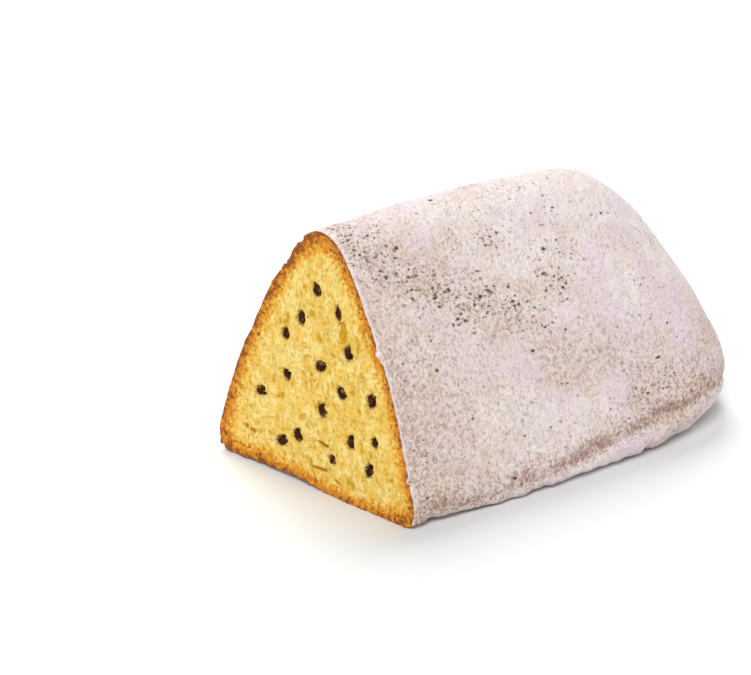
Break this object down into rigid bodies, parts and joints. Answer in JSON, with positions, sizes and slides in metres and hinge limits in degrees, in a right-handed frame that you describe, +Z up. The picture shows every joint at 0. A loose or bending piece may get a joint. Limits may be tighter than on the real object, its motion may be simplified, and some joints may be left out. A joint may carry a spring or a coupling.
{
  "type": "panettone",
  "caption": "Three-sided panettone loaf dusted with icing sugar, one end cut off to show yellow crumb with chocolate drops; rests on its broad flat side.",
  "frame": {"origin": "middle of the bounding box's underside, on the surface that the loaf rests on", "axes": "+Y along the loaf from the cut face to the rounded end, +Z up from the flat underside to the ridge, +X across the loaf"},
  "size_m": [0.1248, 0.2196, 0.1182],
  "materials": {
    "sugared_loaf": "matt baked crust under icing sugar, off-white with pinkish-beige mottling and dark specks; the cut shows golden-yellow open crumb inside a thin orange-brown crust",
    "chocolate": "dark chocolate with a soft sheen where the knife smeared it"
  },
  "bodies": {
    "root": {"loaf": "sugared_loaf", "chocolate_drop_01": "chocolate", "chocolate_drop_02": "chocolate", "chocolate_drop_03": "chocolate", "chocolate_drop_04": "chocolate", "chocolate_drop_05": "chocolate", "chocolate_drop_06": "chocolate", "chocolate_drop_07": "chocolate", "chocolate_drop_08": "chocolate", "chocolate_drop_09": "chocolate", "chocolate_drop_10": "chocolate", "chocolate_drop_11": "chocolate", "chocolate_drop_12": "chocolate", "chocolate_drop_13": "chocolate", "chocolate_drop_14": "chocolate", "chocolate_drop_15": "chocolate", "chocolate_drop_16": "chocolate", "chocolate_drop_17": "chocolate"}
  },
  "joints": []
}
